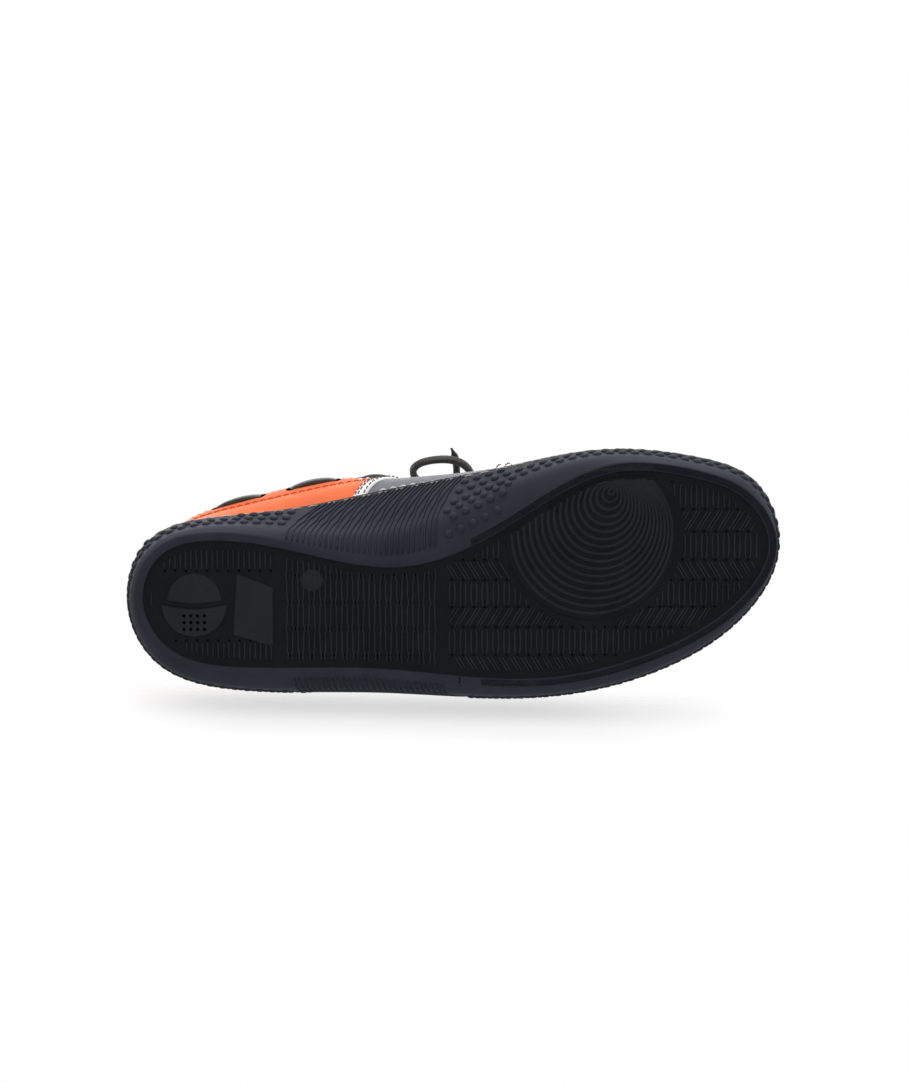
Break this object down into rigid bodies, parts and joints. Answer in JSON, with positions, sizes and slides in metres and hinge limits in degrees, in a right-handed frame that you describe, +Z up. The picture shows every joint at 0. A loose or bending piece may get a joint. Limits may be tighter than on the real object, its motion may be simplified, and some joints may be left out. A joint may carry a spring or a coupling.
{
  "type": "boat shoe",
  "caption": "Low left boat shoe with a moulded rubber cup sole, coloured leather panels, a tongue and a rawhide lace tied in a bow.",
  "frame": {"origin": "centre of the shoe's footprint box, on the ground under the sole", "axes": "+Z up, +Y towards the heel (toe towards -Y), +X towards the outer (lateral) side of this left shoe"},
  "size_m": [0.1125, 0.2948, 0.0923],
  "materials": {
    "rubber_sole": "satin moulded rubber",
    "foam": "closed-cell foam",
    "fibre_board": "pressed fibre board",
    "footbed_leather": "smooth leather over foam",
    "charcoal_leather": "fine grain, low sheen",
    "tongue_leather": "soft leather",
    "orange_leather": "smooth grain",
    "white_leather": "smooth coated",
    "red_leather": "smooth grain",
    "grey_leather": "nubuck",
    "lining_fabric": "brushed textile",
    "eyelet_metal": "dull metal",
    "lace_rawhide": "square cut rawhide, waxed"
  },
  "bodies": {
    "shoe": {"outsole": "rubber_sole", "foam_filler": "foam", "insole_board": "fibre_board", "footbed": "footbed_leather", "toe_plug": "charcoal_leather", "vamp": "charcoal_leather", "backstay": "charcoal_leather", "collar_lateral": "orange_leather", "collar_medial": "orange_leather", "quarter_lateral": "orange_leather", "quarter_medial": "orange_leather", "rear_trim_lateral": "white_leather", "rear_trim_medial": "white_leather", "front_trim_lateral": "white_leather", "front_trim_medial": "white_leather", "front_panel_lateral": "red_leather", "front_panel_medial": "red_leather", "saddle_lateral": "grey_leather", "saddle_medial": "grey_leather", "heel_counter": "fibre_board", "collar_lining": "lining_fabric", "eyelets_lateral": "eyelet_metal", "eyelets_medial": "eyelet_metal", "collar_lace_lateral": "lace_rawhide", "collar_lace_medial": "lace_rawhide", "upper_lace_bar": "lace_rawhide", "lower_lace_bar": "lace_rawhide", "lace_knot": "lace_rawhide", "bow_loop_medial": "lace_rawhide", "bow_loop_lateral": "lace_rawhide", "lace_end_medial": "lace_rawhide", "lace_end_lateral": "lace_rawhide"},
    "tongue": {"tongue": "tongue_leather"}
  },
  "joints": [
    {"name": "tongue_hinge", "type": "hinge", "parent": "shoe", "child": "tongue", "pos_m": [-0.0043, -0.0385, 0.0645], "axis": [1, 0, 0], "range_deg": [-12, 0], "stiffness_Nm_per_rad": 0.15, "springref_deg": 3.44}
  ]
}
